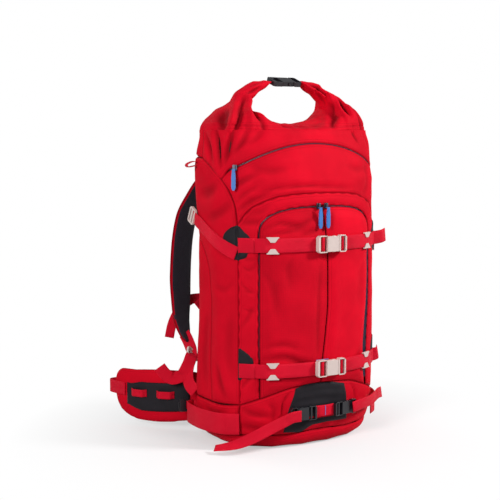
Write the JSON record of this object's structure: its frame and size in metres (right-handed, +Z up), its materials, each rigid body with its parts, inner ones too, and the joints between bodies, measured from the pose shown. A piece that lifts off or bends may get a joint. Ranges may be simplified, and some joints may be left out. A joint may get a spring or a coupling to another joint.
{
  "type": "ski touring backpack",
  "caption": "roll-top ski touring backpack with front pocket, compression straps, ski loops, carry strap, padded shoulder straps and hip wings",
  "frame": {"origin": "middle of the flat bottom panel, on the surface the pack stands on", "axes": "+X to the right seen from the front of the pack, +Y towards the wearer's back, +Z up"},
  "size_m": [0.5088, 0.3888, 0.6604],
  "materials": {
    "red_fabric": "matt nylon",
    "pale_plastic": "satin moulded",
    "black_plastic": "semi-gloss moulded",
    "dark_trim": "coated, matt",
    "zip_tape": "woven tape and coil",
    "zip_metal": "painted zinc",
    "blue_cord": "soft moulded grip",
    "mesh_foam": "spacer mesh over foam",
    "sheet_plastic": "pressed sheet",
    "stay_metal": "bare extruded"
  },
  "bodies": {
    "pack": {"main_bag": "red_fabric", "boot": "red_fabric", "collar": "red_fabric", "roll_arm_left": "red_fabric", "roll_arm_right": "red_fabric", "roll_female": "black_plastic", "front_pocket": "red_fabric", "top_pocket": "red_fabric", "pocket_zip": "zip_tape", "top_zip": "zip_tape", "frame_sheet": "sheet_plastic", "aluminium_stay": "stay_metal", "back_pads": "mesh_foam", "lower_webbing": "red_fabric", "ladder_locks": "pale_plastic", "load_lifters": "red_fabric", "hang_loops": "red_fabric", "ski_loops": "red_fabric", "ski_hooks": "black_plastic", "upper_web_left": "red_fabric", "upper_female": "pale_plastic", "upper_web_right": "red_fabric", "lower_web_left": "red_fabric", "lower_female": "pale_plastic", "lower_web_right": "red_fabric", "strap_keepers": "pale_plastic", "corner_patches": "dark_trim", "side_straps": "red_fabric", "rubber_patch": "dark_trim", "carry_bridge": "red_fabric", "carry_females": "black_plastic"},
    "roll_clip": {"roll_male": "black_plastic"},
    "upper_clip": {"upper_male": "pale_plastic"},
    "lower_clip": {"lower_male": "pale_plastic"},
    "carry_left": {"carry_male_left": "black_plastic", "carry_web_left": "red_fabric"},
    "carry_right": {"carry_male_right": "black_plastic", "carry_web_right": "red_fabric"},
    "harness": {"shoulder_strap_left": "red_fabric", "shoulder_strap_right": "red_fabric", "sternum_web_left": "red_fabric", "sternum_female": "pale_plastic", "sternum_web_right": "red_fabric"},
    "sternum_clip": {"sternum_male": "pale_plastic"},
    "wing_left": {"hip_wing_left": "red_fabric", "hip_panel_left": "dark_trim", "hip_web_left": "red_fabric", "hip_female": "pale_plastic"},
    "wing_right": {"hip_wing_right": "red_fabric", "hip_panel_right": "dark_trim", "hip_web_right": "red_fabric", "hip_male": "pale_plastic"},
    "haul": {"haul_loop": "red_fabric"},
    "slider_top": {"top_slider": "zip_metal"},
    "slider_left": {"pocket_slider_left": "zip_metal"},
    "slider_right": {"pocket_slider_right": "zip_metal"},
    "puller_top": {"top_puller": "blue_cord"},
    "puller_left": {"pocket_puller_left": "blue_cord"},
    "puller_right": {"pocket_puller_right": "blue_cord"}
  },
  "joints": [
    {"name": "roll_release", "type": "slide", "parent": "pack", "child": "roll_clip", "axis": [1, 0, 0], "range_m": [0, 0.026], "deforming": ["roll_arm_right"]},
    {"name": "upper_release", "type": "slide", "parent": "pack", "child": "upper_clip", "axis": [1, 0, 0], "range_m": [0, 0.024], "deforming": ["upper_web_right"]},
    {"name": "lower_release", "type": "slide", "parent": "pack", "child": "lower_clip", "axis": [1, 0, 0], "range_m": [0, 0.024], "deforming": ["lower_web_right"]},
    {"name": "carry_left_release", "type": "slide", "parent": "pack", "child": "carry_left", "axis": [-0.9945, 0.1045, 0], "range_m": [0, 0.022]},
    {"name": "carry_right_release", "type": "slide", "parent": "pack", "child": "carry_right", "axis": [0.9945, 0.1045, 0], "range_m": [0, 0.022]},
    {"name": "harness_swing", "type": "hinge", "parent": "pack", "child": "harness", "pos_m": [0, 0.092, 0.455], "axis": [1, 0, 0], "range_deg": [-3, 25], "deforming": ["lower_webbing", "load_lifters"]},
    {"name": "sternum_release", "type": "slide", "parent": "harness", "child": "sternum_clip", "axis": [1, 0, 0], "range_m": [0, 0.02], "deforming": ["sternum_web_right"]},
    {"name": "wing_left_flex", "type": "hinge", "parent": "pack", "child": "wing_left", "pos_m": [-0.128, 0.099, 0.064], "axis": [0, 0, 1], "range_deg": [-25, 12]},
    {"name": "wing_right_flex", "type": "hinge", "parent": "pack", "child": "wing_right", "pos_m": [0.128, 0.099, 0.064], "axis": [0, 0, 1], "range_deg": [-12, 25]},
    {"name": "haul_loop_swing", "type": "hinge", "parent": "pack", "child": "haul", "pos_m": [0, 0.07411, 0.5325], "axis": [1, 0, 0], "range_deg": [-70, 0]},
    {"name": "top_zip_run", "type": "hinge", "parent": "pack", "child": "slider_top", "pos_m": [-0.0414, 0.03937, 0.47025], "axis": [-0.1859, 0.4467, 0.8752], "range_deg": [0, 51]},
    {"name": "pocket_zip_left_run", "type": "hinge", "parent": "pack", "child": "slider_left", "pos_m": [-0.02075, 0.00784, 0.32565], "axis": [-0.0037, -0.6518, -0.7584], "range_deg": [0, 28]},
    {"name": "pocket_zip_right_run", "type": "hinge", "parent": "pack", "child": "slider_right", "pos_m": [0.01841, 0.01325, 0.32063], "axis": [-0.0042, 0.653, 0.7574], "range_deg": [0, 29]},
    {"name": "top_puller_swing", "type": "hinge", "parent": "slider_top", "child": "puller_top", "pos_m": [-0.14906, -0.05939, 0.49581], "axis": [0.6772, -0.7358, 0], "range_deg": [-55, 0]},
    {"name": "pocket_puller_left_swing", "type": "hinge", "parent": "slider_left", "child": "puller_left", "pos_m": [-0.01106, -0.11641, 0.4284], "axis": [0.9998, -0.021, 0], "range_deg": [-55, 0]},
    {"name": "pocket_puller_right_swing", "type": "hinge", "parent": "slider_right", "child": "puller_right", "pos_m": [0.00502, -0.11649, 0.4284], "axis": [1, 0.0062, 0], "range_deg": [-55, 0]}
  ]
}
